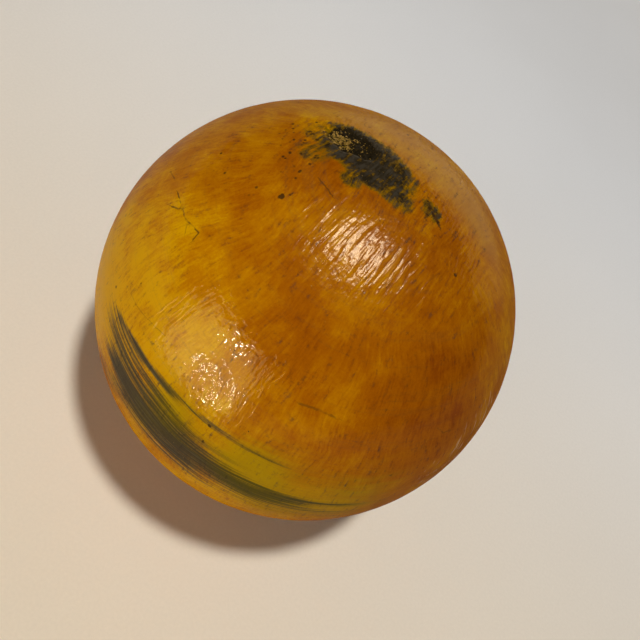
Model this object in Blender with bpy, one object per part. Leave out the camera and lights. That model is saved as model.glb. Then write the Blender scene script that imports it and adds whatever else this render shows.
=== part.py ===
"""A small two-ply playground rubber ball, 127 mm (5 in) across, with its valve.

Frame: metres, +Z up, origin at the centre of the ball. Z is the axis of the mould,
so the cover's parting line is the equator, z = 0. The valve is on the equator, on +Y.

From the outside in, the wall is:
    upper_cover_half, lower_cover_half   rubber cover, two cups lapped at the equator
    nylon_winding                        thread wound over the bladder, shown as one shell
    valve_patch                          rubber ring that fills the winding's eye
    bladder                              butyl air bladder
The valve is valve_boot, which is vulcanised into the bladder, and valve_plug in its bore.
The plug takes the inflating needle, and it slides out along +Y when it is replaced.
"""
import math

import bmesh
import bpy

MM = 0.001

# Ball and wall
BALL_RADIUS = 63.5 * MM
COVER_WALL = 1.6 * MM
WINDING_WALL = 0.5 * MM
BLADDER_WALL = 0.9 * MM
GAP = 0.3 * MM

# Valve boot: nose ring, neck through the wall, flange inside the bladder, tube
NOSE_RADIUS = 6.0 * MM
NOSE_RECESS = 0.4 * MM
NECK_RADIUS = 4.7 * MM
FLANGE_RADIUS = 13.0 * MM
FLANGE_THICKNESS = 1.2 * MM
FLANGE_CLEARANCE = 0.7 * MM
BOOT_LENGTH = 16.0 * MM
BOOT_TAPER = 3.0 * MM
BOOT_TIP_RADIUS = 3.9 * MM
PATCH_RADIUS = 15.2 * MM

# Valve plug
HEAD_RADIUS = 3.0 * MM
HEAD_THICKNESS = 1.2 * MM
STEM_RADIUS = 2.0 * MM
STEM_LENGTH = 12.0 * MM
TIP_LENGTH = 2.0 * MM
TIP_RADIUS = 1.3 * MM
NEEDLE_HOLE_RADIUS = 0.6 * MM
NEEDLE_HOLE_DEPTH = 9.0 * MM
EDGE = 0.3 * MM

# Facets
AROUND = 40
BANDS = 10
VALVE_AROUND = 28
HOLE_AROUND = 32
FLANGE_STEPS = 4
SHARP_ANGLE = math.radians(35.0)

# Radii and heights that follow
COVER_INNER = BALL_RADIUS - COVER_WALL
WINDING_OUTER = COVER_INNER - GAP
WINDING_INNER = WINDING_OUTER - WINDING_WALL
BLADDER_OUTER = WINDING_INNER - GAP
BLADDER_INNER = BLADDER_OUTER - BLADDER_WALL
NOSE_FACE = BALL_RADIUS - NOSE_RECESS
NOSE_SHOULDER = WINDING_OUTER + GAP
BAND_ANGLE = 90.0 / BANDS
RIM_OFFSET = GAP / math.sqrt(2.0)


def clear_scene():
    for obj in list(bpy.data.objects):
        bpy.data.objects.remove(obj, do_unlink=True)


def make_material(name, colour, roughness):
    material = bpy.data.materials.new(name)
    material.use_nodes = True
    material.diffuse_color = (*colour, 1.0)
    shader = material.node_tree.nodes["Principled BSDF"]
    shader.inputs["Base Color"].default_value = (*colour, 1.0)
    shader.inputs["Roughness"].default_value = roughness
    shader.inputs["Metallic"].default_value = 0.0
    return material


def add_object(name, bm, material=None, parent=None):
    """Turn a bmesh into a smooth-shaded object."""
    mesh = bpy.data.meshes.new(name)
    bm.to_mesh(mesh)
    bm.free()
    mesh.shade_smooth()
    mesh.set_sharp_from_angle(angle=SHARP_ANGLE)
    if material:
        mesh.materials.append(material)
    obj = bpy.data.objects.new(name, mesh)
    bpy.context.scene.collection.objects.link(obj)
    obj.parent = parent
    return obj


def arc(radius, start, end, steps):
    """Points (distance from the axis, height) on a circle, from latitude start to end."""
    angles = [math.radians(start + (end - start) * i / steps) for i in range(steps + 1)]
    return [(radius * math.cos(a), radius * math.sin(a)) for a in angles]


def at_height(radius, height):
    """The point of a circle's profile that lies at a height above its centre."""
    return (math.sqrt(radius * radius - height * height), height)


def at_distance(radius, distance):
    """The point of a circle's profile that lies at a distance from the axis."""
    return (distance, math.sqrt(radius * radius - distance * distance))


def ring_of_verts(bm, distance, height, around):
    """One ring of a turned shape, or the one vertex where the profile meets the axis."""
    if distance < EDGE / 100.0:
        return [bm.verts.new((0.0, 0.0, height))]
    turns = [2.0 * math.pi * i / around for i in range(around)]
    return [bm.verts.new((distance * math.cos(a), distance * math.sin(a), height))
            for a in turns]


def turn(profile, around, closed_loop=False):
    """Spin a profile of (distance, height) points about Z into a closed body."""
    bm = bmesh.new()
    rings = [ring_of_verts(bm, distance, height, around) for distance, height in profile]
    pairs = list(zip(rings, rings[1:]))
    if closed_loop:
        pairs.append((rings[-1], rings[0]))
    for first, second in pairs:
        for i in range(around):
            j = (i + 1) % around
            corners = [first[i % len(first)], first[j % len(first)],
                       second[j % len(second)], second[i % len(second)]]
            bm.faces.new(list(dict.fromkeys(corners)))
    bmesh.ops.recalc_face_normals(bm, faces=bm.faces)
    return bm


def hollow_ball(outer, inner):
    """Two concentric spheres, the inner one facing in. A valve hole joins them later."""
    bm = bmesh.new()
    bmesh.ops.create_uvsphere(bm, u_segments=AROUND, v_segments=2 * BANDS, radius=outer)
    lining = bmesh.ops.create_uvsphere(bm, u_segments=AROUND, v_segments=2 * BANDS,
                                       radius=inner)["verts"]
    faces = {face for vert in lining for face in vert.link_faces}
    bmesh.ops.reverse_faces(bm, faces=list(faces))
    return bm


def stand_along_y(bm):
    """Turn a shape made along +Z so that it points along +Y."""
    for vert in bm.verts:
        x, y, z = vert.co
        vert.co = (x, z, -y)


def valve_cutter(name, radius):
    """A hidden cylinder on the valve axis, from inside the ball to outside it."""
    half = BALL_RADIUS / 2.0
    bm = turn([(0.0, half), (radius, half), (radius, 3.0 * half), (0.0, 3.0 * half)],
              HOLE_AROUND)
    stand_along_y(bm)
    cutter = add_object(name, bm)
    cutter.hide_render = True
    cutter.display_type = "WIRE"
    return cutter


def cut(obj, name, radius, operation="DIFFERENCE"):
    """Take the valve cylinder of a radius out of a wall, or keep only what is in it."""
    modifier = obj.modifiers.new(name, "BOOLEAN")
    modifier.solver = "EXACT"
    modifier.operation = operation
    modifier.object = valve_cutter(name, radius)


def add_upper_cover(rubber):
    """The upper cup. Its rim slopes in and down, under the lower cup's lip."""
    outer = arc(BALL_RADIUS, 90.0, BAND_ANGLE, BANDS - 1)
    outer.append(at_height(BALL_RADIUS, RIM_OFFSET))
    inner = [at_height(COVER_INNER, RIM_OFFSET - COVER_WALL)]
    inner += arc(COVER_INNER, 0.0, 90.0, BANDS)
    cup = add_object("upper_cover_half", turn(outer + inner, AROUND), rubber)
    cut(cup, "upper_cover_hole", NOSE_RADIUS + GAP)


def add_lower_cover(rubber):
    """The lower cup. Its rim is cut to the same slope, one gap below the upper rim."""
    outer = arc(BALL_RADIUS, -90.0, -BAND_ANGLE, BANDS - 1)
    outer.append(at_height(BALL_RADIUS, -RIM_OFFSET))
    inner = [at_height(COVER_INNER, -RIM_OFFSET - COVER_WALL)]
    inner += arc(COVER_INNER, -BAND_ANGLE, -90.0, BANDS - 1)
    cup = add_object("lower_cover_half", turn(outer + inner, AROUND), rubber)
    cut(cup, "lower_cover_hole", NOSE_RADIUS + GAP)


def add_winding(thread):
    winding = add_object("nylon_winding", hollow_ball(WINDING_OUTER, WINDING_INNER), thread)
    cut(winding, "winding_eye", PATCH_RADIUS + GAP)


def add_patch(rubber):
    """A ring with the winding's own two surfaces, so that it lies flush in the eye."""
    patch = add_object("valve_patch", hollow_ball(WINDING_OUTER, WINDING_INNER), rubber)
    cut(patch, "patch_hole", NECK_RADIUS + GAP)
    cut(patch, "patch_rim", PATCH_RADIUS, "INTERSECT")


def add_bladder(butyl):
    bladder = add_object("bladder", hollow_ball(BLADDER_OUTER, BLADDER_INNER), butyl)
    cut(bladder, "bladder_hole", NECK_RADIUS + GAP)


def flange_profile():
    """The flange follows the bladder's wall: its top surface, then its bottom one."""
    top = BLADDER_INNER - FLANGE_CLEARANCE
    bottom = top - FLANGE_THICKNESS
    width = FLANGE_RADIUS - NECK_RADIUS
    distances = [NECK_RADIUS + width * i / FLANGE_STEPS for i in range(FLANGE_STEPS + 1)]
    profile = [at_distance(top, distance) for distance in distances]
    profile += [at_distance(bottom, distance) for distance in reversed(distances)]
    return profile


def add_boot(rubber):
    """The moulded housing that holds the plug."""
    recess_floor = NOSE_FACE - HEAD_THICKNESS - 2.0 * GAP
    recess_radius = HEAD_RADIUS + GAP
    bore_radius = STEM_RADIUS + GAP
    tip = NOSE_FACE - BOOT_LENGTH
    nose = [(recess_radius, NOSE_FACE), (NOSE_RADIUS - EDGE, NOSE_FACE),
            (NOSE_RADIUS, NOSE_FACE - EDGE), (NOSE_RADIUS, NOSE_SHOULDER),
            (NECK_RADIUS, NOSE_SHOULDER)]
    tube = [(NECK_RADIUS, tip + BOOT_TAPER), (BOOT_TIP_RADIUS, tip), (bore_radius, tip),
            (bore_radius, recess_floor), (recess_radius, recess_floor)]
    bm = turn(nose + flange_profile() + tube, VALVE_AROUND, closed_loop=True)
    stand_along_y(bm)
    add_object("valve_boot", bm, rubber)


def add_plug(rubber):
    """The soft plug, made around an empty in the middle of the boot's mouth."""
    mouth = bpy.data.objects.new("plug_slide", None)
    mouth.location = (0.0, NOSE_FACE, 0.0)
    bpy.context.scene.collection.objects.link(mouth)
    top = -GAP
    shoulder = top - HEAD_THICKNESS
    tip = shoulder - STEM_LENGTH
    hole_floor = top - NEEDLE_HOLE_DEPTH
    profile = [(0.0, hole_floor), (NEEDLE_HOLE_RADIUS, hole_floor),
               (NEEDLE_HOLE_RADIUS, top), (HEAD_RADIUS - EDGE, top),
               (HEAD_RADIUS, top - EDGE), (HEAD_RADIUS, shoulder),
               (STEM_RADIUS, shoulder), (STEM_RADIUS, tip + TIP_LENGTH),
               (TIP_RADIUS, tip), (0.0, tip)]
    bm = turn(profile, VALVE_AROUND)
    stand_along_y(bm)
    add_object("valve_plug", bm, rubber, parent=mouth)


def main():
    clear_scene()
    cover_rubber = make_material("amber_rubber", (0.45, 0.18, 0.01), 0.42)
    add_upper_cover(cover_rubber)
    add_lower_cover(cover_rubber)
    add_winding(make_material("nylon_thread", (0.72, 0.66, 0.52), 0.80))
    add_patch(make_material("patch_rubber", (0.10, 0.09, 0.08), 0.75))
    add_bladder(make_material("butyl_rubber", (0.02, 0.02, 0.02), 0.60))
    add_boot(make_material("boot_rubber", (0.05, 0.035, 0.02), 0.55))
    add_plug(make_material("plug_rubber", (0.13, 0.05, 0.025), 0.65))


main()
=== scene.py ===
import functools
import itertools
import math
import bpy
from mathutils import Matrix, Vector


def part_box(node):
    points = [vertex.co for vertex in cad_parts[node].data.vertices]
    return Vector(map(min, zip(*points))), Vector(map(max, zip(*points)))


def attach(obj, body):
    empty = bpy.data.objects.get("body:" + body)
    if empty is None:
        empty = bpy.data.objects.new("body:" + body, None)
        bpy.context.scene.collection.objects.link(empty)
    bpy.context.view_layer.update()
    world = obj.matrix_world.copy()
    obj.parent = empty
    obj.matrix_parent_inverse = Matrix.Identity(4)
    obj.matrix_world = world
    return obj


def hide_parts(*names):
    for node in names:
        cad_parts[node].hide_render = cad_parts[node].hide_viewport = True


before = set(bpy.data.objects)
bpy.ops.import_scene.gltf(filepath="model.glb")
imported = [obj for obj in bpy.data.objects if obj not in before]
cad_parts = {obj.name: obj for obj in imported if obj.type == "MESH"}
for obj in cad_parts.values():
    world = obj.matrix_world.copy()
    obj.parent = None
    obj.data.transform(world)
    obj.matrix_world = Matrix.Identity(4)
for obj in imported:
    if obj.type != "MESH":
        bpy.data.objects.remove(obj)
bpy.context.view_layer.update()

# Looks for the small playground ball: two skins over its cover halves, with a brushed amber
# coat, a crumbling dark patch near the top and a grey streak round the parting line.
# Lengths in names that end in _MM are millimetres; everything built is in metres.
# Latitude is above the parting line. Longitude 0 faces the camera (-Y), and grows towards +X.
from types import SimpleNamespace

import bpy
import numpy as np
from mathutils import Matrix, Vector

MM = 0.001

# Ball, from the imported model
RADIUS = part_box("upper_cover_half")[1].z
RADIUS_MM = RADIUS / MM
WINDING_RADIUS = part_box("nylon_winding")[1].z
FLOOR_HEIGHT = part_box("lower_cover_half")[0].z

# Skins
CELLS = 168
INNER_CELLS = CELLS // 4
HOLE_CELLS = 8
INNER_HOLE_CELLS = HOLE_CELLS // 4
HOLE_RADIUS = 6.4 * MM
HOLE_EDGE_DROP_MM = 0.42
HOLE_EDGE_WIDTH_MM = 1.5
WALL_GAP = 0.3 * MM
SEAM_HALF_GAP = 0.05 * MM
RIM_STEP = 0.2 * MM

# Relief of the coat. Between these heights, in ball radii, turned lines give way to strokes.
TURNED_TO_DRAWN = (0.28, 0.38)
# Each layer: its height in mm, its features per ball radius, the seed, and the octaves.
SWELLS = (0.10, 1.4, 3, 1)
DENTS = (0.045, 5.0, 5, 1)
PORES = (0.020, 16.0, 7, 2)
CRUMBS = (0.42, 34.0, 19, 3)
STAIN_GRAIN = (0.05, 60.0, 23, 2)
# Each set of brush ridges: its height, width and length in mm, and the seed.
BRUSH_RIDGES = [(0.034, 2.3, 11.0, 11), (0.014, 1.3, 6.0, 13)]
TURNED_HEIGHT_MM = 0.020
TURNED_FEATURES = (4.0, 4.0, 46.0)
TURNED_SEED = 17
GROOVE_DEPTH_MM = 0.10
SPECK_HEIGHT_MM = 0.14
SPECK_EDGE = (0.2, 0.8)
# Closest to the axis that strokes are worked out for, in ball radii.
NEAREST_POLE = 0.02

# How far noise moves the outlines of the patch, the lines and the streaks, in ball radii.
PATCH_WOBBLE = 0.010
LINE_WOBBLE = 0.0035
STREAK_WOBBLE = 0.010
WOBBLE_FEATURES = 22.0
WOBBLE_SEEDS = (61, 67, 71)
WOBBLE_OCTAVES = 3
STREAK_FEATURES = 3.0
STREAK_SEED = 73

# Camera, with angles in degrees
LENS_MM = 36.0
SENSOR_MM = 36.0
CAMERA_ELEVATION = 54.0
CAMERA_ROLL = 40.0
CAMERA_DISTANCE = 3.2 * RADIUS
AIM_RIGHT = 4.3 * MM
AIM_DOWN = 2.9 * MM

# Lights. The lamp and the window light the scene; the cards are only seen as reflections.
# Each has the place of its middle in ball radii, its width and height in metres, and its power.
LAMP = ((0.3, -0.9, 17.3), 0.10, None, 8.4)
LAMP_CARD = ((0.55, 0.8, 17.0), 0.28, 0.56, 32.0)
LAMP_CORE = ((0.4, 0.8, 16.9), 0.11, 0.28, 6.5)
WINDOW = ((-3.7, -15.2, 0.9), 0.75, 0.55, 6.6)
WINDOW_CARD = ((-0.97, -3.33, 0.60), 0.170, 0.142, 1.00)
WALL_CARD = ((2.0, 12.0, 2.6), 1.10, 0.46, 3.4)
GLINT_CARDS = [
    ((-0.62, -3.25, 1.46), 0.010, 0.006, 0.20),
    ((-0.20, -3.40, 0.42), 0.014, 0.010, 0.07),
    ((-0.78, -3.40, 0.52), 0.014, 0.010, 0.09),
    ((-1.00, -3.40, 0.22), 0.014, 0.010, 0.07),
    ((-0.34, -3.40, -0.10), 0.014, 0.010, 0.08),
]
LAMP_COLOUR = (1.0, 0.97, 0.91)
WINDOW_COLOUR = (1.0, 0.86, 0.66)
CARD_COLOUR = (1.0, 0.82, 0.56)
HAZE_COLOUR = (1.0, 0.78, 0.30)
WORLD_COLOUR = (1.0, 0.83, 0.74)
WORLD_STRENGTH = 0.10
BACKDROP_COLOUR = (0.66, 0.64, 0.60)
FLOOR_SIZE = 12.0
# Far away, between these distances in mm, the floor darkens and glows in the backdrop's colour.
# Between these Y in mm it turns from painted warm light in front of the ball to painted cool light
# behind it.
FLOOR_FADE_MM = (330.0, 1000.0)
FLOOR_TURN_MM = (-160.0, 300.0)
FLOOR_FRONT_WARM_LIGHT = (0.815, 0.725, 0.59)
FLOOR_BACK_COOL_LIGHT = (0.88, 0.91, 0.95)

# Coat colours, linear
YELLOW = (0.54, 0.285, 0.0)
AMBER = (0.42, 0.166, 0.0)
ORANGE = (0.31, 0.093, 0.0)
BROWN = (0.20, 0.042, 0.0)
OLIVE = (0.17, 0.108, 0.0)
STRAW = (0.33, 0.225, 0.0)
SOOT = (0.012, 0.010, 0.006)
ASH = (0.036, 0.031, 0.023)
STREAK_GREY = (0.034, 0.034, 0.024)
STREAK_PALE = (0.074, 0.067, 0.040)
STREAK_OLIVE = (0.060, 0.050, 0.004)
# Painted sheen: the colour of the gloss haze behind the top.
SHEEN_TAN = (0.36, 0.185, 0.03)
LINE_BROWN = (0.070, 0.030, 0.006)
SPECK_BROWN = (0.035, 0.016, 0.004)
GRIT_GOLD = (0.42, 0.25, 0.06)
# Pale colour of the scuffs, and of the painted reflection streaks on the +X side.
SCUFF_AND_SHEEN_PALE = (0.62, 0.42, 0.22)
# The colour of the coat for each warmth.
WARMTH_COLOURS = [(0.06, YELLOW), (0.34, AMBER), (0.62, ORANGE), (1.0, BROWN)]
WARMTH_OFFSET = -1.475

# A mark is a sum of noises and this offset. It begins to show at the first number of its
# EDGE and is full at the second, and COVER is how much of the colour below it then hides.
STRAW_OFFSET = -0.25
STRAW_EDGE = (0.05, 0.85)
STRAW_COVER = 0.80
BAND_OFFSET = -0.42
BAND_EDGE = (0.12, 0.98)
BAND_COVER = 0.95
STAIN_OFFSET = -1.67
STAIN_EDGE = (0.08, 0.86)
STAIN_COVER = 0.97
STAIN_HALO_EDGE = (-0.18, 0.38)
STAIN_HALO_COVER = 0.72
GRIT_OFFSET = -1.18
GRIT_EDGE = (0.05, 0.50)
GRIT_COVER = 0.90
# Pale scuffs, and painted reflection streaks on the +X side.
SCUFF_AND_SHEEN_EDGE = (1.10, 1.32)
SCUFF_AND_SHEEN_COVER = 0.55
LINE_EDGE = (0.35, 1.5)
SPECK_OFFSET = -0.25
PLACED_SPECK_EDGE = (0.38, 0.60)
SMALL_SPECK_EDGE = (0.10, 0.30)
SPECK_COVER = 0.88
# Painted sheen behind the top: it begins at the first Y in mm and is full at the second.
SHEEN_TAN_EDGE_MM = (5.0, 14.0)
SHEEN_TAN_COVER = 0.55

# Roughness of the paint, and the clear coat over it
PAINT_ROUGHNESS = 0.46
GLOSS_IOR = 1.6
GLOSS_ROUGHNESS = 0.085
GLOSS_DULLING = 0.095

# Strokes in the coat: width and length in mm, and the octaves of noise in them.
BROAD_STROKES = (2.2, 9.0, 2.0)
FINE_STROKES = (0.8, 4.0, 2.0)
HAIRS = (0.4, 3.0, 1.0)
GLOSS_RIDGES = (1.15, 9.0, 1.0)

# Noises that run round the parting line: their scale per mm along X, Y and Z.
TURNED_LINES = (0.06, 0.06, 0.8)
TURNED_HAIRS = (0.05, 0.05, 2.0)
BAND_THREADS = (0.022, 0.022, 1.1)
# Even noises: their scale per mm.
CLOUD_SCALE = 0.035
MOTTLE_SCALE = 0.11
SMOKE_SCALE = 0.30
BLOTCH_SCALE = 0.42
DIMPLE_SCALE = 0.62
GRAIN_SCALE = 1.6
CRUMB_SCALE = 1.9

# Heights above or below the parting line, in mm, between which the coat changes.
TURNED_TO_BRUSHED_MM = (17.0, 25.0)
BRUSHED_TO_COMBED_MM = (50.0, 59.0)
DEEPER_RIDGES_MM = (38.0, 54.0)
DULLER_GLOSS_MM = (44.0, 54.0)
TURNED_SHARE = 0.7

# Inner pieces, linear: the colours of the wound thread and of dust, and for each rubber its
# darkest and lightest colour, roughness, height of the grain in mm, and share of dust.
THREAD_COLOURS = [(0.1, (0.36, 0.30, 0.20)), (0.5, (0.62, 0.55, 0.42)), (0.9, (0.78, 0.73, 0.60))]
THREAD_TILTS = (0.0, 0.9, 1.9, 2.7)
DUST = (0.42, 0.36, 0.27)
RUBBERS = {
    "bladder": ((0.012, 0.012, 0.012), (0.035, 0.034, 0.032), 0.42, 0.02, 0.25),
    "valve_patch": ((0.06, 0.055, 0.05), (0.13, 0.12, 0.10), 0.7, 0.04, 0.2),
    "valve_boot": ((0.030, 0.020, 0.010), (0.075, 0.050, 0.026), 0.5, 0.03, 0.35),
    "valve_plug": ((0.10, 0.034, 0.016), (0.20, 0.080, 0.040), 0.48, 0.02, 0.15),
}

# How warm the coat is: latitude, longitude, radius in degrees, and what is added there. Less warm is
# yellower and lighter; one area at the lower left is painted bounce light.
WARM_BASE = 0.50
WARM_AND_BOUNCE_LIGHT_AREAS = [
    (24.0, -38.0, 20.0, -0.46),
    (25.0, -8.0, 12.0, -0.22),
    # Painted bounce light and sheen: the lower left near the parting line is made yellower and
    # lighter.
    (4.0, -49.0, 17.0, -0.45),
    (-6.0, 5.0, 24.0, -0.24),
    (0.0, 12.0, 9.0, -0.20),
    (65.0, 20.0, 9.0, -0.14),
    (36.0, -16.0, 14.0, -0.06),
    (62.0, -28.0, 10.0, -0.10),
    (37.0, -76.0, 11.0, -0.12),
    (57.0, -74.0, 9.0, 0.14),
    (52.0, 8.0, 14.0, 0.16),
    (45.0, 56.0, 15.0, 0.26),
    (58.0, 60.0, 20.0, 0.10),
    (28.0, 48.0, 18.0, 0.14),
    (72.0, -62.0, 9.0, 0.22),
    (84.0, 70.0, 12.0, 0.14),
    (62.0, -100.0, 14.0, -0.14),
    (64.0, 178.0, 20.0, -0.10),
]

# The dark patch near the top: centre x and y, half-length, half-width in mm, angle, strength.
PATCH_BLOTS = [
    (-15.5, 4.2, 8.0, 5.4, -5.0, 1.0),
    (-6.0, 3.4, 9.0, 4.8, -22.0, 0.70),
    (-13.0, -2.2, 10.5, 3.8, -10.0, 0.70),
    (-3.5, -3.0, 8.4, 3.6, -4.0, 0.66),
    (-9.0, 0.4, 8.0, 2.2, -14.0, 0.90),
    (-10.5, -7.2, 3.0, 2.6, -60.0, 0.50),
    (9.0, 0.8, 3.4, 2.4, -20.0, 0.50),
    (-25.0, 1.6, 3.4, 4.0, 0.0, 0.26),
    (-21.5, -6.0, 4.4, 3.4, 0.0, 0.30),
]
PIT = (-17.0, 3.6, 7.0, 4.2, -6.0, 1.0)
GRIT = (-19.4, 2.9, 3.4, 2.9, -20.0, 1.0)
PIT_DEPTH_MM = 0.75
# The coat sinks where the pit's strength is between these, and an oval fades between these
# shares of its half-length.
PIT_EDGE = (0.25, 0.8)
BLOT_EDGE = (0.55, 1.45)

# Grey streaks near the parting line: latitude in the middle, from and to longitude, rise of the
# latitude from one end to the other, half-width in degrees, strength.
STREAKS = [
    (6.6, -30.0, 3.0, 0.0, 4.2, 1.0),
    (5.0, -35.0, -8.0, 0.0, 2.2, 0.50),
    (10.6, -36.0, 8.0, 0.0, 2.2, 0.56),
    (2.4, -26.0, 8.0, 0.0, 2.8, 0.72),
    (5.4, -6.0, 24.0, 0.0, 2.4, 0.50),
    (8.6, -14.0, 34.0, -1.0, 2.2, 0.84),
    (9.4, 0.0, 50.0, 0.0, 1.5, 0.66),
    (5.2, 0.0, 50.0, -2.6, 1.6, 0.50),
    (12.6, -39.0, 2.0, 0.5, 2.6, 0.58),
    (15.6, -38.0, -8.0, 1.0, 1.9, 0.42),
    (14.2, -16.0, 16.0, 0.0, 2.4, 0.28),
    (11.6, -6.0, 26.0, -1.6, 1.2, 0.50),
    (17.2, -36.0, -18.0, 1.6, 0.9, 0.85),
    (18.7, -28.0, -8.0, 1.4, 0.8, 0.92),
    (20.2, -18.0, 4.0, 1.4, 0.7, 0.60),
    (20.9, -2.0, 24.0, -0.6, 0.9, 0.52),
    (-1.2, -33.0, 16.0, 0.0, 2.0, 0.52),
    (1.6, 8.0, 50.0, -2.0, 1.2, 0.28),
    (-4.6, -36.0, -20.0, 0.0, 2.4, 0.50),
    (-2.4, 40.0, 90.0, 1.0, 1.6, 0.34),
    (5.0, 120.0, 205.0, 2.0, 2.2, 0.60),
    (9.0, 150.0, 240.0, -1.0, 1.1, 0.45),
    (-4.0, 170.0, 230.0, 1.0, 1.6, 0.50),
]
# A streak tapers between these shares of its half-length.
STREAK_ENDS = (0.55, 1.25)

# Where the coat is straw-coloured: latitude, longitude, radius in degrees, strength.
STRAW_AREAS = [
    (15.5, -8.0, 8.0, 0.75),
    (15.0, 14.0, 10.0, 0.85),
    (11.0, 40.0, 14.0, 0.60),
    (2.0, 24.0, 10.0, 0.45),
    (0.0, -14.0, 8.0, 0.35),
]

# Scratches and cracks: points as latitude and longitude, width in mm, strength.
LINES = [
    ([(39.4, -57.0), (41.0, -50.5), (42.2, -45.0), (44.4, -40.0), (43.0, -38.8)], 0.22, 0.85),
    ([(41.0, -50.5), (39.6, -51.0), (38.3, -52.6)], 0.24, 0.85),
    ([(42.2, -45.0), (41.3, -42.0)], 0.16, 0.6),
    ([(35.0, -67.0), (37.6, -63.0), (38.4, -61.5)], 0.2, 0.6),
    ([(37.2, 15.5), (37.6, 21.0), (37.1, 26.5)], 0.34, 0.55),
    ([(71.4, -52.2), (72.6, -46.0), (73.5, -37.6)], 0.2, 0.75),
    ([(34.2, 58.6), (32.2, 61.0), (31.6, 64.0)], 0.24, 0.5),
    ([(22.0, -38.0), (24.0, -30.0), (27.5, -21.0)], 0.16, 0.4),
    ([(83.5, 120.0), (83.2, 102.0), (81.3, 95.4), (78.7, 87.2)], 0.5, 0.95),
    ([(82.6, 98.0), (81.9, 78.4)], 0.4, 0.8),
    ([(80.4, 93.0), (80.0, 101.0)], 0.3, 0.7),
]
# A line's strength fades over so many of its widths and a few mm, and distances to it are cut
# off at FARTHEST_LINE widths.
LINE_REACH_WIDTHS = 2.5
LINE_REACH_MM = 0.9
FARTHEST_LINE = 50.0

# Dark specks: latitude, longitude, radius in mm.
SPECKS = [
    (63.2, -43.0, 0.75), (66.6, -90.0, 0.42), (61.5, -89.0, 0.36), (62.0, -75.0, 0.34),
    (67.5, -57.4, 0.5), (48.6, -69.6, 0.42), (65.6, -91.0, 0.5), (66.4, -80.0, 0.36),
    (69.4, -76.0, 0.3), (17.4, -40.6, 0.42), (26.8, -36.0, 0.3), (22.0, 48.0, 0.4),
    (68.0, 74.0, 0.5), (20.4, 1.2, 0.52), (15.2, 2.2, 0.5), (38.4, -6.0, 0.2),
    (25.5, 9.0, 0.24), (28.4, 59.6, 0.34), (82.7, 97.0, 0.62), (81.2, 92.0, 0.55),
    (79.4, 88.5, 0.5), (83.6, 110.0, 0.4), (82.1, 82.0, 0.4), (80.6, 100.0, 0.34),
    (65.2, -88.0, 0.4), (68.4, -86.0, 0.5), (66.9, -71.0, 0.44), (70.6, -70.0, 0.4),
    (64.0, -66.0, 0.34), (60.5, -80.0, 0.3), (67.8, -96.0, 0.44), (70.2, -93.0, 0.36),
]
SPECK_AREA = (65.0, -78.0, 13.0, 1.0)

# Where the coat is scuffed pale, and where pale streaks are painted reflection: latitude, longitude,
# radius in degrees, strength. The first two areas, on the +X side near the edge, are painted
# reflection along the brush ridges; the other two are scuffs.
SCUFF_AND_SHEEN_AREAS = [
    (12.0, 66.0, 13.0, 0.9),
    (27.0, 82.0, 13.0, 0.9),
    (66.0, 165.0, 14.0, 0.5),
    (2.0, 250.0, 20.0, 0.7),
]

# How thick the clear coat is: latitude, longitude, radius in degrees, and what is added there.
CLEAR_COAT = 0.10
CLEAR_COAT_AREAS = [
    (2.0, -50.0, 22.0, 0.13),
    (24.0, -84.0, 14.0, 0.10),
    (38.0, 112.0, 26.0, -0.065),
    (8.0, 76.0, 24.0, -0.06),
]


# ---------------------------------------------------------------- numbers on the sphere

def direction(latitude, longitude):
    """Unit vector for a latitude and longitude in degrees."""
    lat, lon = math.radians(latitude), math.radians(longitude)
    return np.array([math.cos(lat) * math.sin(lon), -math.cos(lat) * math.cos(lon), math.sin(lat)])


def unit(points):
    return points / np.linalg.norm(points, axis=-1, keepdims=True)


def smoothstep(values, low, high):
    t = np.clip((values - low) / (high - low), 0.0, 1.0)
    return t * t * (3.0 - 2.0 * t)


def cell_value(cells, seed):
    """A repeatable number from 0 to 1 for each whole-numbered cell."""
    x, y, z = (cells[:, axis].astype(np.uint64) for axis in range(3))
    mixed = x * np.uint64(73856093) ^ y * np.uint64(19349663) ^ z * np.uint64(83492791)
    mixed = (mixed ^ np.uint64(seed * 7919 + 17)) * np.uint64(2654435761)
    mixed = (mixed ^ (mixed >> np.uint64(15))) * np.uint64(2246822519)
    mixed = mixed ^ (mixed >> np.uint64(13))
    return (mixed & np.uint64(0xFFFFFF)).astype(float) / 0xFFFFFF


def noise(points, seed):
    """Smooth noise from -1 to 1 with features about 1 unit across."""
    base = np.floor(points)
    part = points - base
    fade = part * part * (3.0 - 2.0 * part)
    cells = base.astype(np.int64)
    total = np.zeros(len(points))
    for corner in itertools.product((0, 1), repeat=3):
        weight = np.prod(np.where(np.array(corner), fade, 1.0 - fade), axis=1)
        total += weight * cell_value(cells + np.array(corner), seed)
    return 2.0 * total - 1.0


def layered_noise(points, seed, layers):
    total = np.zeros(len(points))
    for layer in range(layers):
        total += noise(points * 2.0 ** layer, seed + layer) / 2.0 ** layer
    return total


def strokes(points, width_mm, length_mm, seed):
    """Noise drawn out along the meridians, as wide at the poles as at the equator."""
    across = np.hypot(points[:, 0], points[:, 1]).clip(NEAREST_POLE)
    level = -np.log2(across)
    whole = np.floor(level)
    along = np.arcsin(points[:, 2].clip(-1.0, 1.0)) * RADIUS_MM / length_mm
    total = np.zeros(len(points))
    for step, share in ((0, 1.0 - (level - whole)), (1, level - whole)):
        scale = RADIUS_MM / width_mm / 2.0 ** (whole + step) / across
        grid = np.stack([points[:, 0] * scale, points[:, 1] * scale, along], axis=1)
        total += share * noise(grid, seed)
    return total


def area(points, latitude, longitude, radius, amount):
    """A soft round area: amount at its centre, falling to a third at its radius in degrees."""
    angle = np.degrees(np.arccos((points @ direction(latitude, longitude)).clip(-1.0, 1.0)))
    return amount * np.exp(-(angle / radius) ** 2)


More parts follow.
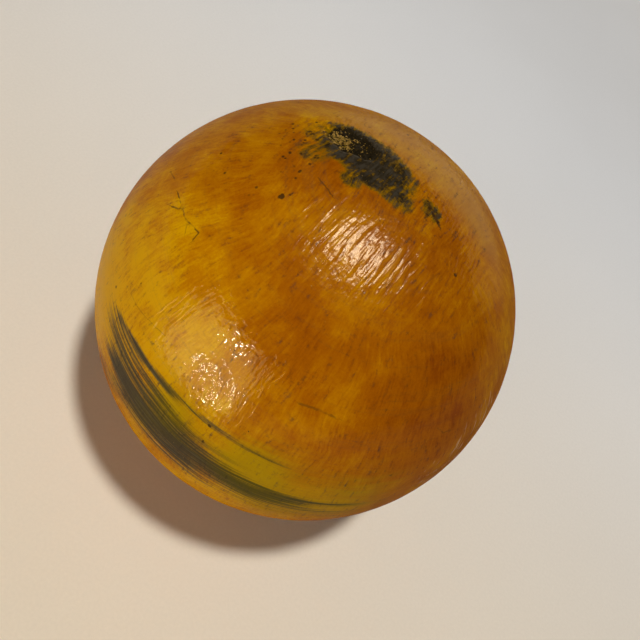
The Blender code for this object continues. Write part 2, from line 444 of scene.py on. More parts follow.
def blot(points, x, y, half_length, half_width, angle, strength):
    """A soft oval seen from the top: strength at its centre, half of it at its outline."""
    turn = math.radians(angle)
    east = points[:, 0] * RADIUS_MM - x
    north = points[:, 1] * RADIUS_MM - y
    along = (east * math.cos(turn) + north * math.sin(turn)) / half_length
    across = (north * math.cos(turn) - east * math.sin(turn)) / half_width
    inside = 1.0 - smoothstep(np.hypot(along, across), *BLOT_EDGE)
    return strength * inside * (points[:, 2] > 0.0)


def latitude_longitude(points):
    lat = np.degrees(np.arcsin(points[:, 2].clip(-1.0, 1.0)))
    lon = np.degrees(np.arctan2(points[:, 0], -points[:, 1]))
    return lat, lon


def streak(points, latitude, start, end, rise, half_width, strength):
    """A smear along a parallel, with tapered ends."""
    lat, lon = latitude_longitude(points)
    middle = (start + end) / 2.0
    reach = (end - start) / 2.0
    share = ((lon - middle + 180.0) % 360.0 - 180.0) / reach
    taper = 1.0 - smoothstep(np.abs(share), *STREAK_ENDS)
    away = lat - latitude - rise * share.clip(-1.5, 1.5) / 2.0
    return strength * taper * np.exp(-(away / half_width) ** 2)


def distance_to_line(points, places):
    """Signed distance in mm from a line through latitude and longitude places."""
    corners = [direction(*place) for place in places]
    best = np.full(len(points), np.inf)
    side = np.ones(len(points))
    for start, end in zip(corners, corners[1:]):
        run = end - start
        share = ((points - start) @ run / (run @ run)).clip(0.0, 1.0)
        nearest = start + share[:, None] * run
        away = np.linalg.norm(points - nearest, axis=1) * RADIUS_MM
        closer = away < best
        best = np.where(closer, away, best)
        side = np.where(closer, np.sign(points @ np.cross(start, end)), side)
    return best * side


def all_lines(points):
    """Distance to the nearest line in line widths, and how strong that line is there."""
    nearest = np.full(len(points), np.inf)
    strength = np.zeros(len(points))
    for places, width_mm, amount in LINES:
        away = distance_to_line(points, places)
        reach_mm = LINE_REACH_WIDTHS * width_mm + LINE_REACH_MM
        reach = amount * np.exp(-(away / reach_mm) ** 2)
        closer = np.abs(away) / width_mm < np.abs(nearest)
        nearest = np.where(closer, away / width_mm, nearest)
        strength = np.where(closer, reach, strength)
    return nearest.clip(-FARTHEST_LINE, FARTHEST_LINE), strength


def all_specks(points):
    """1 at the middle of a speck, a half at its edge, 0 from twice its radius."""
    total = np.zeros(len(points))
    for latitude, longitude, radius_mm in SPECKS:
        away = np.linalg.norm(points - direction(latitude, longitude), axis=1) * RADIUS_MM
        total = np.maximum(total, 1.0 - away / (2.0 * radius_mm))
    return total.clip(0.0, 1.0)


def marks_on(points):
    """Every mark on the coat, as numbers that the material and the relief both use."""
    wobble = np.stack([layered_noise(points * WOBBLE_FEATURES, seed, WOBBLE_OCTAVES)
                       for seed in WOBBLE_SEEDS], axis=1)
    moved = unit(points + PATCH_WOBBLE * wobble)
    lift = noise(points * STREAK_FEATURES, STREAK_SEED)
    smear = points + np.array([0.0, 0.0, STREAK_WOBBLE]) * lift[:, None]
    nearest, strength = all_lines(unit(points + LINE_WOBBLE * wobble))
    blots = [blot(moved, *values) for values in PATCH_BLOTS]
    streaks = [streak(unit(smear), *values) for values in STREAKS]
    return {
        "warm_and_bounce_light": WARM_BASE + sum(area(points, *values) for values in WARM_AND_BOUNCE_LIGHT_AREAS),
        "straw": sum(area(points, *values) for values in STRAW_AREAS),
        "stain": np.maximum.reduce(blots),
        "pit": blot(moved, *PIT),
        "grit": blot(moved, *GRIT),
        "band": 1.0 - np.prod([1.0 - mark for mark in streaks], axis=0),
        "line": nearest,
        "line_strength": strength,
        "speck": all_specks(points),
        "speck_area": area(points, *SPECK_AREA),
        "scuff_and_sheen": sum(area(points, *values) for values in SCUFF_AND_SHEEN_AREAS),
        "clear_coat": CLEAR_COAT + sum(area(points, *values) for values in CLEAR_COAT_AREAS),
    }


def bumps_mm(points, height_mm, features, seed, octaves):
    return height_mm * layered_noise(points * features, seed, octaves)


def relief_mm(points, marks):
    """How far the coat stands out from the ball."""
    band = 1.0 - smoothstep(np.abs(points[:, 2]), *TURNED_TO_DRAWN)
    drawn = sum(height_mm * strokes(points, *rest) for height_mm, *rest in BRUSH_RIDGES)
    turned = TURNED_HEIGHT_MM * noise(points * np.array(TURNED_FEATURES), TURNED_SEED)
    height = bumps_mm(points, *SWELLS) + bumps_mm(points, *DENTS) + bumps_mm(points, *PORES)
    height += drawn * (1.0 - band) + turned * band
    height -= (PIT_DEPTH_MM - bumps_mm(points, *CRUMBS)) * smoothstep(marks["pit"], *PIT_EDGE)
    height += bumps_mm(points, *STAIN_GRAIN) * marks["stain"]
    height -= GROOVE_DEPTH_MM * marks["line_strength"] * np.exp(-marks["line"] ** 2 / 4.0)
    height += SPECK_HEIGHT_MM * smoothstep(marks["speck"], *SPECK_EDGE)
    return height - hole_edge_drop_mm(points)


def hole_edge_drop_mm(points):
    """The cover's edge rolls down to the face of the valve."""
    from_axis = np.hypot(points[:, 0], points[:, 2]) * RADIUS_MM
    share = 1.0 - (from_axis - HOLE_RADIUS / MM) / HOLE_EDGE_WIDTH_MM
    return HOLE_EDGE_DROP_MM * share.clip(0.0, 1.0) ** 2 * (points[:, 1] > 0.0)


# ---------------------------------------------------------------- skins

def cube_face(axis, side, cells):
    """One face of a cube of whole-numbered points, and its quads, which face outwards."""
    steps = np.arange(cells + 1)
    u, v = np.meshgrid(steps, steps, indexing="ij")
    lattice = np.zeros((cells + 1, cells + 1, 3), np.int64)
    lattice[..., axis] = cells * side
    lattice[..., (axis + 1) % 3] = u
    lattice[..., (axis + 2) % 3] = v
    index = np.arange((cells + 1) ** 2).reshape(cells + 1, cells + 1)
    corners = [index[:-1, :-1], index[1:, :-1], index[1:, 1:], index[:-1, 1:]]
    quads = np.stack([corner.ravel() for corner in corners], axis=1)
    return lattice.reshape(-1, 3), quads if side else quads[:, ::-1]


def cube_lattice(cells):
    """The points and quads of a whole cube, with its faces welded together."""
    points, quads, count = [], [], 0
    for axis, side in itertools.product(range(3), (0, 1)):
        face_points, face_quads = cube_face(axis, side, cells)
        points.append(face_points)
        quads.append(face_quads + count)
        count += len(face_points)
    unique, weld = np.unique(np.concatenate(points), axis=0, return_inverse=True)
    return unique, weld.reshape(-1)[np.concatenate(quads)]


def round_the_hole(lattice, cells, hole_cells):
    """Directions for the face that holds the valve, drawn into circles round its hole."""
    a = 2.0 * lattice[:, 0] / cells - 1.0
    b = 2.0 * lattice[:, 2] / cells - 1.0
    ring = np.maximum(np.abs(a), np.abs(b))
    first = 2.0 * hole_cells / cells
    share = ((ring - first) / (1.0 - first)).clip(0.0, 1.0)
    hole_angle = math.asin(HOLE_RADIUS / RADIUS)
    from_axis = hole_angle + share * (math.pi / 4.0 - hole_angle)
    wide = np.abs(a) >= np.abs(b)
    ratio = np.where(wide, b, a) / ring.clip(1e-9)
    sign = np.sign(np.where(wide, a, b))
    swing = math.pi / 4.0 * ratio * sign
    turn = np.where(wide, swing, sign * (math.pi / 2.0) - swing)
    turn = np.where(wide & (a < 0.0), turn + math.pi, turn)
    circle = np.stack([np.sin(from_axis) * np.cos(turn), np.cos(from_axis),
                       np.sin(from_axis) * np.sin(turn)], axis=1)
    return circle, smoothstep(share, 0.0, 1.0)


def sphere_directions(lattice, cells, hole_cells):
    """Unit vectors for the points of a cube lattice, nearly evenly spread."""
    spread = unit(np.tan((2.0 * lattice / cells - 1.0) * math.pi / 4.0))
    on_face = lattice[:, 1] == cells
    circle, share = round_the_hole(lattice[on_face], cells, hole_cells)
    spread[on_face] = unit(circle + share[:, None] * (spread[on_face] - circle))
    return spread


def half_of(lattice, quads, cells, hole_cells, upper):
    """The quads of one half of the ball, without those over the valve hole."""
    height = lattice[quads][:, :, 2] - cells // 2
    wanted = (height >= 0).all(axis=1) if upper else (height <= 0).all(axis=1)
    centre = lattice[quads].mean(axis=1) - cells / 2.0
    on_face = centre[:, 1] > cells / 2.0 - 0.25
    in_hole = on_face & (np.abs(centre[:, [0, 2]]) < hole_cells).all(axis=1)
    return quads[wanted & ~in_hole]


def edge_loop(quads, start):
    """The open edge of some quads, as points in order from start, in the quads' direction."""
    starts = quads.ravel()
    ends = np.roll(quads, -1, axis=1).ravel()
    known = set(zip(starts.tolist(), ends.tolist()))
    following = {a: b for a, b in known if (b, a) not in known}
    loop = [start]
    while following[loop[-1]] != start:
        loop.append(following[loop[-1]])
    return np.array(loop)


def hole_corner(lattice, cells, hole_cells):
    """The point where the hole meets the parting line, on the +X side."""
    wanted = np.array([cells // 2 + hole_cells, cells, cells // 2])
    return int(np.flatnonzero((lattice == wanted).all(axis=1))[0])


def shell(cells, hole_cells, upper):
    """One half sphere: its directions, its quads, and its open edge."""
    lattice, quads = cube_lattice(cells)
    directions = sphere_directions(lattice, cells, hole_cells)
    quads = half_of(lattice, quads, cells, hole_cells, upper)
    loop = edge_loop(quads, hole_corner(lattice, cells, hole_cells))
    used, renumbered = np.unique(quads, return_inverse=True)
    place = {int(old): new for new, old in enumerate(used)}
    on_seam = lattice[used][:, 2] == cells // 2
    loop = np.array([place[int(point)] for point in loop])
    return directions[used], renumbered.reshape(quads.shape), loop, on_seam


def part_at_seam(points, on_seam, upper):
    """Move the points on the parting line to their own side of it."""
    points[on_seam, 2] = SEAM_HALF_GAP if upper else -SEAM_HALF_GAP
    return points


def rim_triangles(middle, inner):
    """Join an edge loop to one with a quarter as many points."""
    faces = []
    for i, first in enumerate(inner):
        second = inner[(i + 1) % len(inner)]
        m = [middle[(4 * i + step) % len(middle)] for step in range(5)]
        faces += [(m[1], m[0], first), (m[2], m[1], first), (m[2], first, second)]
        faces += [(m[3], m[2], second), (m[4], m[3], second)]
    return faces


def add_skin(name, upper):
    """A closed cup: the relief outside, a plain inside, and a rim between them."""
    outward, quads, loop, on_seam = shell(CELLS, HOLE_CELLS, upper)
    inward, inner_quads, inner_loop, inner_seam = shell(INNER_CELLS, INNER_HOLE_CELLS, upper)
    marks = marks_on(outward)
    height = relief_mm(outward, marks)
    outer = part_at_seam(outward * (RADIUS + height[:, None] * MM), on_seam, upper)
    inner = part_at_seam(inward * (WINDING_RADIUS + WALL_GAP), inner_seam, upper)
    middle = outer[loop] * (1.0 - RIM_STEP / RADIUS)
    middle = part_at_seam(middle, on_seam[loop], upper)

    middle_index = len(outer) + np.arange(len(loop))
    inner_start = len(outer) + len(loop)
    faces = quads.tolist()
    faces += [quad[::-1] for quad in (inner_quads + inner_start).tolist()]
    rim = [np.roll(loop, -1), loop, middle_index, np.roll(middle_index, -1)]
    faces += np.stack(rim, axis=1).tolist()
    faces += rim_triangles(middle_index.tolist(), (inner_loop + inner_start).tolist())

    mesh = bpy.data.meshes.new(name)
    mesh.from_pydata(np.concatenate([outer, middle, inner]).tolist(), [], faces)
    mesh.validate()
    mesh.shade_smooth()
    for mark, values in marks.items():
        full = np.zeros(len(mesh.vertices), np.float32)
        full[:len(outer)] = values
        full[len(outer):inner_start] = values[loop]
        mesh.attributes.new(mark, "FLOAT", "POINT").data.foreach_set("value", full)
    skin = bpy.data.objects.new(name, mesh)
    bpy.context.scene.collection.objects.link(skin)
    return skin


# ---------------------------------------------------------------- materials

# A Mix node's colour sockets share their names with its number sockets, so they go by place.
MIX_FIRST_COLOUR = 6
MIX_SECOND_COLOUR = 7
MIX_COLOUR = 2


class Material:
    """A node material under construction. Values may be numbers, tuples or sockets."""

    def __init__(self, name):
        self.material = bpy.data.materials.new(name)
        self.material.use_nodes = True
        self.tree = self.material.node_tree
        self.shader = self.tree.nodes["Principled BSDF"]

    def connect(self, socket, value):
        if isinstance(value, bpy.types.NodeSocket):
            self.tree.links.new(value, socket)
        elif isinstance(value, tuple) and len(value) == 3 and socket.type == "RGBA":
            socket.default_value = (*value, 1.0)
        else:
            socket.default_value = value

    def node(self, kind, inputs, **settings):
        made = self.tree.nodes.new(kind)
        for key, value in settings.items():
            setattr(made, key, value)
        for key, value in inputs.items():
            self.connect(made.inputs[key], value)
        return made

    def math(self, operation, *values):
        return self.node("ShaderNodeMath", dict(enumerate(values)), operation=operation).outputs[0]

    def vector(self, operation, *values):
        made = self.node("ShaderNodeVectorMath", dict(enumerate(values)), operation=operation)
        return made.outputs["Vector"]

    def scaled(self, vector, factor):
        inputs = {"Vector": vector, "Scale": factor}
        return self.node("ShaderNodeVectorMath", inputs, operation="SCALE").outputs["Vector"]

    def weighted(self, *terms):
        """The sum of (value, weight) pairs."""
        total = 0.0
        for value, weight in terms:
            total = self.math("MULTIPLY_ADD", value, weight, total)
        return total

    def smooth(self, value, low, high):
        """0 up to low, 1 from high, and a smooth step between them."""
        inputs = {"Value": value, "From Min": low, "From Max": high}
        return self.node("ShaderNodeMapRange", inputs, interpolation_type="SMOOTHSTEP").outputs[0]

    def mark(self, name):
        return self.node("ShaderNodeAttribute", {}, attribute_name=name).outputs["Fac"]

    def noise(self, vector, scale, detail=2.0, roughness=0.5):
        inputs = {"Vector": vector, "Scale": scale, "Detail": detail, "Roughness": roughness}
        return self.node("ShaderNodeTexNoise", inputs).outputs["Fac"]

    def noise_vector(self, vector, scale):
        """A vector of noises, each about from -0.5 to 0.5."""
        inputs = {"Vector": vector, "Scale": scale, "Detail": 1.0}
        made = self.node("ShaderNodeTexNoise", inputs).outputs["Color"]
        return self.vector("SUBTRACT", made, (0.5, 0.5, 0.5))

    def mix(self, share, first, second):
        """A colour between two others."""
        made = self.node("ShaderNodeMix", {}, data_type="RGBA")
        self.connect(made.inputs["Factor"], share)
        self.connect(made.inputs[MIX_FIRST_COLOUR], first)
        self.connect(made.inputs[MIX_SECOND_COLOUR], second)
        return made.outputs[MIX_COLOUR]

    def blend(self, share, first, second):
        """A number between two others."""
        return self.node("ShaderNodeMix", {"Factor": share, "A": first, "B": second}).outputs[0]

    def ramp(self, value, stops):
        made = self.node("ShaderNodeValToRGB", {"Fac": value})
        elements = made.color_ramp.elements
        while len(elements) < len(stops):
            elements.new(1.0)
        for element, (position, colour) in zip(elements, stops):
            element.position = position
            element.color = (*colour, 1.0)
        return made.outputs["Color"]

    def place_mm(self):
        """Where a point is in the row frame, in mm."""
        coordinates = self.tree.nodes.new("ShaderNodeTexCoord")
        return self.scaled(coordinates.outputs["Object"], 1.0 / MM)

    def bump(self, height_mm):
        return self.node("ShaderNodeBump", {"Height": height_mm, "Distance": MM}).outputs["Normal"]

    def split(self, vector):
        """The X, Y and Z of a vector, or the red, green and blue of a colour."""
        return self.node("ShaderNodeSeparateXYZ", {"Vector": vector}).outputs

    def length(self, vector):
        made = self.node("ShaderNodeVectorMath", {"Vector": vector}, operation="LENGTH")
        return made.outputs["Value"]

    def inverse(self, share):
        return self.math("SUBTRACT", 1.0, share)

    def product(self, first, second):
        return self.math("MULTIPLY", first, second)

    def finish(self, **inputs):
        names = {"colour": "Base Color", "roughness": "Roughness", "normal": "Normal",
                 "coat": "Coat Weight", "coat_roughness": "Coat Roughness",
                 "coat_normal": "Coat Normal", "coat_ior": "Coat IOR",
                 "specular": "Specular IOR Level",
                 "glow": "Emission Color", "glow_strength": "Emission Strength"}
        for key, value in inputs.items():
            self.connect(self.shader.inputs[names[key]], value)
        return self.material


def meridian_frame(m, place):
    """Where a point is, as strokes along the meridians need it.

    Gives its direction from the axis, its nearness to the axis as a power of two, and its
    latitude in mm.
    """
    length = m.length(place)
    height = m.math("DIVIDE", m.split(place)["Z"], length)
    latitude = m.product(m.math("ARCSINE", height), RADIUS_MM)
    square = m.product(height, height)
    across = m.math("SQRT", m.math("MAXIMUM", m.inverse(square), NEAREST_POLE ** 2))
    level = m.product(m.math("LOGARITHM", across, 2.0), -1.0)
    flat = m.scaled(m.vector("MULTIPLY", place, (1.0, 1.0, 0.0)), m.math("DIVIDE", 1.0, length))
    around = m.scaled(flat, m.math("DIVIDE", 1.0, across))
    return around, level, latitude


def meridian_strokes(m, meridian, width_mm, length_mm, detail):
    """Noise drawn out along the meridians, as wide at the poles as at the equator."""
    around, level, latitude = meridian
    whole = m.math("FLOOR", level)
    share = m.math("FRACT", level)
    distance = m.math("DIVIDE", latitude, length_mm)
    along = m.node("ShaderNodeCombineXYZ", {"Z": distance}).outputs["Vector"]
    layers = []
    for step in (0.0, 1.0):
        halvings = m.math("POWER", 2.0, m.math("ADD", whole, step))
        grid = m.scaled(around, m.math("DIVIDE", RADIUS_MM / width_mm, halvings))
        layers.append(m.noise(m.vector("ADD", grid, along), 1.0, detail))
    return m.weighted((layers[0], m.inverse(share)), (layers[1], share))


def brush_strokes(m, fields, width_mm, length_mm, detail):
    """Strokes along the meridians, which turn to run all one way over the top."""
    drawn = meridian_strokes(m, fields.brushed, width_mm, length_mm, detail)
    across, along = 1.0 / width_mm, 1.0 / length_mm
    combed = m.noise(m.vector("MULTIPLY", fields.moved, (across, along, along)), 1.0, detail)
    return m.blend(fields.over_top, drawn, combed)


def wandering(m, place, *layers):
    """A place moved by noise. Each layer: the scale of the noise per mm, and its reach in mm."""
    moved = place
    for scale, reach_mm in layers:
        moved = m.vector("ADD", moved, m.scaled(m.noise_vector(place, scale), reach_mm))
    return moved


def coat_fields(m):
    """The noises that the coat's colours and relief share."""
    place = m.place_mm()
    moved = wandering(m, place, (0.045, 6.0), (0.22, 0.9))
    height = m.math("ABSOLUTE", m.split(moved)["Z"])
    level = wandering(m, place, (0.05, 2.0))
    fields = SimpleNamespace(place=place, moved=moved, level=level, height=height)
    fields.brushed = meridian_frame(m, moved)
    fields.over_top = m.smooth(height, *BRUSHED_TO_COMBED_MM)
    brushed_share = m.smooth(height, *TURNED_TO_BRUSHED_MM)
    fields.in_band = m.weighted((brushed_share, -TURNED_SHARE), (TURNED_SHARE, 1.0))
    fields.turned = m.noise(m.vector("MULTIPLY", level, TURNED_LINES), 1.0, 2.0)
    fields.turned_fine = m.noise(m.vector("MULTIPLY", level, TURNED_HAIRS), 1.0, 3.0, 0.65)
    fields.fine = brush_strokes(m, fields, *FINE_STROKES)
    fields.hairs = brush_strokes(m, fields, *HAIRS)
    ridges = brush_strokes(m, fields, *GLOSS_RIDGES)
    fields.ridges = m.blend(fields.in_band, ridges, fields.turned)
    broad = brush_strokes(m, fields, *BROAD_STROKES)
    fields.brush = m.blend(fields.in_band, broad, fields.turned)
    fields.brush_fine = m.blend(fields.in_band, fields.fine, fields.turned_fine)
    fields.grain = m.noise(place, GRAIN_SCALE, 3.0, 0.65)
    fields.crumbs = m.node("ShaderNodeTexVoronoi", {"Vector": place, "Scale": CRUMB_SCALE})
    fields.pit = m.smooth(m.mark("pit"), 0.25, 0.7)
    return fields


def amber(m, fields):
    """Yellow to brown, in soft areas (one of them painted bounce light), mottling and brush strokes,
    and painted sheen behind the top.
    """
    mottle = m.noise(fields.moved, MOTTLE_SCALE, 4.0, 0.62)
    cloud = m.noise(fields.place, CLOUD_SCALE, 2.0)
    warmth = m.weighted((m.mark("warm_and_bounce_light"), 1.0), (fields.brush, 0.38), (fields.brush_fine, 0.56),
                        (fields.hairs, 0.26), (mottle, 0.90), (cloud, 0.5), (fields.grain, 0.35),
                        (WARMTH_OFFSET, 1.0))
    colour = m.ramp(warmth, WARMTH_COLOURS)
    # Painted sheen: behind the top the coat turns a smoother tan, standing in for the haze of gloss
    # seen there.
    behind = m.smooth(m.split(fields.moved)["Y"], *SHEEN_TAN_EDGE_MM)
    painted_sheen = m.product(m.product(behind, fields.over_top), SHEEN_TAN_COVER)
    return m.mix(painted_sheen, colour, SHEEN_TAN)


def with_streaks(m, fields, colour):
    """Straw-coloured areas and grey streaks round the parting line."""
    straw = m.weighted((m.mark("straw"), 1.0), (fields.turned, 0.5), (STRAW_OFFSET, 1.0))
    straw = m.smooth(straw, *STRAW_EDGE)
    colour = m.mix(m.product(straw, STRAW_COVER), colour, STRAW)
    threads = m.noise(m.vector("MULTIPLY", fields.level, BAND_THREADS), 1.0, 4.0, 0.75)
    threads = m.smooth(threads, 0.34, 0.66)
    dark = m.weighted((m.mark("band"), 1.10), (threads, 0.56), (fields.grain, 0.3),
                      (BAND_OFFSET, 1.0))
    dark = m.product(m.smooth(dark, *BAND_EDGE), BAND_COVER)
    grey = m.mix(m.smooth(fields.turned_fine, 0.30, 0.52), STREAK_PALE, STREAK_GREY)
    return m.mix(dark, colour, m.mix(straw, grey, STREAK_OLIVE))


def with_patch(m, fields, colour):
    """The smoky dark patch, with golden crumbs in its pit. Also gives how dark each place is."""
    patchy = m.noise(fields.place, BLOTCH_SCALE, 3.0, 0.65)
    stain = m.weighted((m.mark("stain"), 1.10), (fields.fine, 1.50), (fields.grain, 0.80),
                       (patchy, 1.05), (STAIN_OFFSET, 1.0))
    faint = m.product(m.smooth(stain, *STAIN_HALO_EDGE), m.smooth(m.mark("stain"), 0.02, 0.4))
    colour = m.mix(m.product(faint, STAIN_HALO_COVER), colour, OLIVE)
    smoke = m.noise(fields.moved, SMOKE_SCALE, 4.0, 0.7)
    smoke = m.weighted((smoke, 1.0), (fields.fine, 0.6), (-0.3, 1.0))
    tone = m.smooth(m.weighted((smoke, 1.0), (fields.pit, -0.35)), 0.40, 0.66)
    dark = m.mix(tone, SOOT, ASH)
    stained = m.product(m.smooth(stain, *STAIN_EDGE), STAIN_COVER)
    colour = m.mix(stained, colour, dark)
    crumb_tone = m.split(fields.crumbs.outputs["Color"])["X"]
    golden = m.weighted((m.mark("grit"), 0.55), (m.mark("pit"), 0.45), (crumb_tone, 0.8),
                        (fields.crumbs.outputs["Distance"], -0.9), (patchy, 1.2),
                        (GRIT_OFFSET, 1.0))
    golden = m.product(m.smooth(golden, *GRIT_EDGE), GRIT_COVER)
    return m.mix(golden, colour, m.mix(crumb_tone, OLIVE, GRIT_GOLD)), stained


def scuffs_and_sheen(m, fields):
    """1 in the pale scuffs and in the painted reflection streaks on the +X side, which follow the
    brush strokes.
    """
    stroke = m.weighted((fields.ridges, 1.0), (fields.hairs, 0.6), (m.mark("scuff_and_sheen"), 0.30))
    return m.product(m.smooth(stroke, *SCUFF_AND_SHEEN_EDGE), m.smooth(m.mark("scuff_and_sheen"), 0.1, 0.8))


def scratches(m, fields):
    """1 along the scratches and cracks, which wander and break off."""
    wander = m.weighted((m.mark("line"), 1.0), (m.noise(fields.place, 1.1), 1.6), (-0.8, 1.0))
    line = m.inverse(m.smooth(m.math("ABSOLUTE", wander), *LINE_EDGE))
    broken = m.smooth(m.noise(fields.place, 0.5, 2.0), 0.30, 0.55)
    return m.product(m.product(line, m.mark("line_strength")), broken)


def specks(m, fields):
    """1 in the dark specks: the placed ones, and small ones scattered over one area."""
    dots = m.node("ShaderNodeTexVoronoi", {"Vector": fields.place, "Scale": 0.55})
    chance = m.split(dots.outputs["Color"])["X"]
    chosen = m.weighted((m.mark("speck_area"), 0.65), (chance, 1.0), (-1.0, 1.0))
    small = m.inverse(m.smooth(dots.outputs["Distance"], *SMALL_SPECK_EDGE))
    small = m.product(small, m.smooth(chosen, 0.0, 0.12))
    placed = m.weighted((m.mark("speck"), 1.0), (fields.grain, 0.5), (SPECK_OFFSET, 1.0))
    return m.math("MAXIMUM", m.smooth(placed, *PLACED_SPECK_EDGE), small)


def coat_relief_mm(m, fields, line, speck):
    """The fine relief under the gloss."""
    hair_height = m.product(fields.hairs, m.inverse(fields.in_band))
    crumb_height = m.product(fields.crumbs.outputs["Distance"], fields.pit)
    return m.weighted((fields.brush_fine, 0.10), (hair_height, 0.04), (fields.brush, 0.05),
                      (fields.grain, 0.016), (crumb_height, -0.5), (line, -0.05), (speck, 0.05))


def gloss_relief_mm(m, fields):
    """The relief of the clear coat: dimples, and brush ridges, deepest over the top and at +X."""
    sideways = m.split(fields.place)["X"]
    depth = m.weighted((m.smooth(fields.height, *DEEPER_RIDGES_MM), 0.15),
                       (m.smooth(sideways, 40.0, 58.0), 0.22), (0.16, 1.0))
    dimples = m.noise(fields.moved, DIMPLE_SCALE, 1.0)
    return m.weighted((m.product(fields.ridges, depth), 1.0), (dimples, 0.155),
                      (fields.brush_fine, 0.018), (fields.grain, 0.010))


def coat_material():
    """Amber coat, brushed on along the meridians and along the parting line."""
    m = Material("amber_coat")
    fields = coat_fields(m)
    colour = with_streaks(m, fields, amber(m, fields))
    # Pale scuffs, and painted reflection streaks along the brush ridges on the +X side.
    colour = m.mix(m.product(scuffs_and_sheen(m, fields), SCUFF_AND_SHEEN_COVER), colour, SCUFF_AND_SHEEN_PALE)
    colour, stained = with_patch(m, fields, colour)
    line = scratches(m, fields)
    speck = specks(m, fields)
    colour = m.mix(line, colour, LINE_BROWN)
    colour = m.mix(m.product(speck, SPECK_COVER), colour, SPECK_BROWN)
    rough = m.weighted((PAINT_ROUGHNESS, 1.0), (fields.brush_fine, 0.16), (fields.grain, 0.08),
                       (fields.pit, 0.25), (stained, 0.10))
    duller = m.smooth(fields.height, *DULLER_GLOSS_MM)
    return m.finish(colour=colour, roughness=rough, specular=0.0,
                    normal=m.bump(coat_relief_mm(m, fields, line, speck)),
                    coat=m.weighted((fields.pit, -0.07), (m.mark("clear_coat"), 1.0)),
                    coat_roughness=m.weighted((duller, GLOSS_DULLING), (GLOSS_ROUGHNESS, 1.0)),
                    coat_ior=GLOSS_IOR, coat_normal=m.bump(gloss_relief_mm(m, fields)))


def winding_material():
    """Latex-dipped thread, wound over the bladder in several directions."""
    m = Material("wound_thread")
    place = m.place_mm()
    lays = []
    for tilt in THREAD_TILTS:
        axis = (math.cos(tilt), math.sin(tilt), 0.3)
        turned = m.node("ShaderNodeVectorRotate", {"Vector": place, "Angle": 1.1, "Axis": axis})
        inputs = {"Vector": turned.outputs["Vector"], "Scale": 0.75, "Distortion": 0.6,
                  "Detail": 1.0, "Detail Scale": 0.4}
        wave = m.node("ShaderNodeTexWave", inputs, bands_direction="Z")
        lays.append(wave.outputs["Fac"])
    height = functools.reduce(lambda first, second: m.math("MAXIMUM", first, second), lays)
    latex = m.noise(place, 0.12, 4.0, 0.6)
    colour = m.ramp(m.weighted((height, 0.6), (latex, 0.6), (-0.1, 1.0)), THREAD_COLOURS)
    return m.finish(colour=colour, roughness=m.weighted((0.6, 1.0), (latex, 0.3)),
                    normal=m.bump(m.weighted((height, 0.16), (latex, 0.05))))


def rubber_material(name, dark, light, roughness, grain_mm, dust):
    """Moulded rubber with a fine grain, flow marks and a little dust."""
    m = Material(name)
    place = m.place_mm()
    flow = m.noise(place, 0.09, 4.0, 0.6)
    grain = m.noise(place, 2.6, 3.0, 0.65)
    settled = m.smooth(m.noise(place, 0.33, 5.0, 0.7), 0.48, 0.78)
    tone = m.weighted((flow, 0.9), (grain, 0.3), (-0.1, 1.0))
    colour = m.ramp(tone, [(0.15, dark), (0.85, light)])
    colour = m.mix(m.product(settled, dust), colour, DUST)
    return m.finish(colour=colour, specular=0.4,
                    roughness=m.weighted((roughness, 1.0), (grain, 0.14), (settled, 0.12)),
                    normal=m.bump(m.weighted((grain, grain_mm), (flow, 0.04))))


def floor_material():
    """Pale card, with painted warm light in front of the ball and painted cool light behind it, which
    far away darkens and glows in the backdrop's colour.
    """
    m = Material("pale_card")
    place = m.place_mm()
    fibre = m.noise(place, 0.9, 4.0, 0.6)
    cloud = m.noise(place, 0.006, 3.0)
    back = m.smooth(m.split(place)["Y"], *FLOOR_TURN_MM)
    colour = m.mix(back, FLOOR_FRONT_WARM_LIGHT, FLOOR_BACK_COOL_LIGHT)
    shade = m.weighted((fibre, 0.10), (cloud, 0.08), (0.91, 1.0))
    far = m.smooth(m.length(place), *FLOOR_FADE_MM)
    return m.finish(colour=m.scaled(colour, m.weighted((shade, 1.0), (far, -0.9))),
                    roughness=0.62, specular=0.0, normal=m.bump(m.product(fibre, 0.02)),
                    glow=BACKDROP_COLOUR, glow_strength=far)


def give_material(obj, material):
    """Put a material in every slot of an object."""
    if not obj.data.materials:
        obj.data.materials.append(material)
    for slot in obj.material_slots:
        slot.material = material


# ---------------------------------------------------------------- scene

def add_covers():
    coat = coat_material()
    for name, node, upper in (("upper_cover_skin", "upper_cover_half", True),
                              ("lower_cover_skin", "lower_cover_half", False)):
        skin = add_skin(name, upper)
        give_material(skin, coat)
        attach(skin, "ball")
        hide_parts(node)


def finish_cad_nodes():
    """Detailed materials for the CAD nodes that stay as they are."""
    give_material(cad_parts["nylon_winding"], winding_material())
    for node, look in RUBBERS.items():
        give_material(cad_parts[node], rubber_material(f"{node}_rubber", *look))


def add_floor():
    half = FLOOR_SIZE / 2.0
    mesh = bpy.data.meshes.new("floor")
    corners = [(-half, -half, 0.0), (half, -half, 0.0), (half, half, 0.0), (-half, half, 0.0)]
    mesh.from_pydata(corners, [], [(0, 1, 2, 3)])
    floor = bpy.data.objects.new("floor", mesh)
    floor.location.z = FLOOR_HEIGHT
    bpy.context.scene.collection.objects.link(floor)
    give_material(floor, floor_material())


def add_light(name, shape, colour, card, place, width, height, power):
    """An area light that points at the ball. It only lights things, and a card only shows in gloss."""
    data = bpy.data.lights.new(name, "AREA")
    data.shape = shape
    data.size = width
    if height:
        data.size_y = height
    data.energy = power
    data.color = colour
    light = bpy.data.objects.new(name, data)
    away = Vector(place)
    light.location = away * RADIUS
    light.rotation_mode = "QUATERNION"
    light.rotation_quaternion = away.to_track_quat("Z", "Y")
    light.visible_camera = False
    light.visible_diffuse = not card
    light.visible_glossy = card
    bpy.context.scene.collection.objects.link(light)


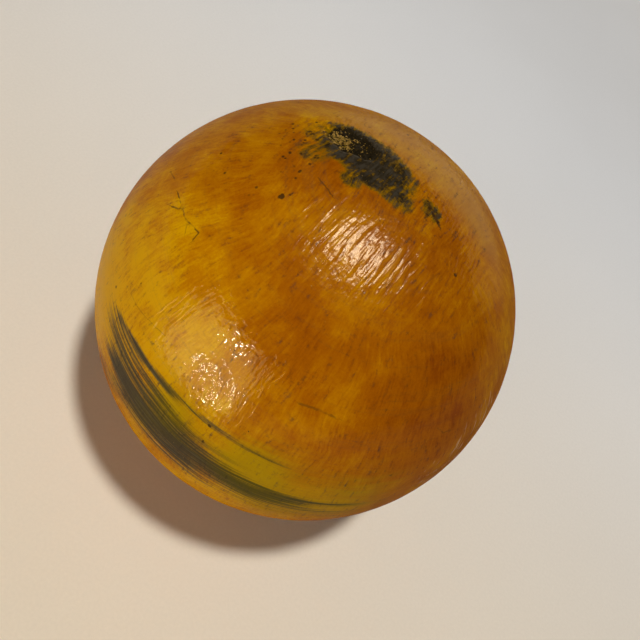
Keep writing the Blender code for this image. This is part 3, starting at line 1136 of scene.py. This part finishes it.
def add_lights():
    add_light("lamp", "DISK", LAMP_COLOUR, False, *LAMP)
    add_light("window", "RECTANGLE", WINDOW_COLOUR, False, *WINDOW)
    add_light("lamp_card", "ELLIPSE", CARD_COLOUR, True, *LAMP_CARD)
    add_light("lamp_core", "ELLIPSE", CARD_COLOUR, True, *LAMP_CORE)
    add_light("wall_card", "RECTANGLE", CARD_COLOUR, True, *WALL_CARD)
    add_light("window_card", "RECTANGLE", HAZE_COLOUR, True, *WINDOW_CARD)
    for number, card in enumerate(GLINT_CARDS):
        add_light(f"glint_card_{number}", "RECTANGLE", CARD_COLOUR, True, *card)
    world = bpy.data.worlds.new("studio")
    world.use_nodes = True
    tree = world.node_tree
    fill = tree.nodes["Background"]
    fill.inputs["Color"].default_value = (*WORLD_COLOUR, 1.0)
    fill.inputs["Strength"].default_value = WORLD_STRENGTH
    backdrop = tree.nodes.new("ShaderNodeBackground")
    backdrop.inputs["Color"].default_value = (*BACKDROP_COLOUR, 1.0)
    seen = tree.nodes.new("ShaderNodeLightPath")
    choice = tree.nodes.new("ShaderNodeMixShader")
    tree.links.new(seen.outputs["Is Camera Ray"], choice.inputs[0])
    tree.links.new(fill.outputs[0], choice.inputs[1])
    tree.links.new(backdrop.outputs[0], choice.inputs[2])
    tree.links.new(choice.outputs[0], tree.nodes["World Output"].inputs["Surface"])
    bpy.context.scene.world = world


def add_camera():
    """Steeply above the ball, rolled, and aimed a little to one side of it."""
    lift, roll = math.radians(CAMERA_ELEVATION), math.radians(CAMERA_ROLL)
    towards = Vector((0.0, -math.cos(lift), math.sin(lift)))
    level = Vector((1.0, 0.0, 0.0))
    upright = Vector((0.0, math.sin(lift), math.cos(lift)))
    right = math.cos(roll) * level + math.sin(roll) * upright
    up = math.cos(roll) * upright - math.sin(roll) * level
    data = bpy.data.cameras.new("camera")
    data.lens = LENS_MM
    data.sensor_width = SENSOR_MM
    data.clip_start = RADIUS / 10.0
    camera = bpy.data.objects.new("camera", data)
    place = towards * CAMERA_DISTANCE + right * AIM_RIGHT - up * AIM_DOWN
    turn = Matrix((right, up, towards)).transposed().to_4x4()
    camera.matrix_world = Matrix.Translation(place) @ turn
    bpy.context.scene.collection.objects.link(camera)
    bpy.context.scene.camera = camera


add_camera()
add_covers()
finish_cad_nodes()
add_floor()
add_lights()
bpy.context.scene.view_settings.view_transform = "Standard"
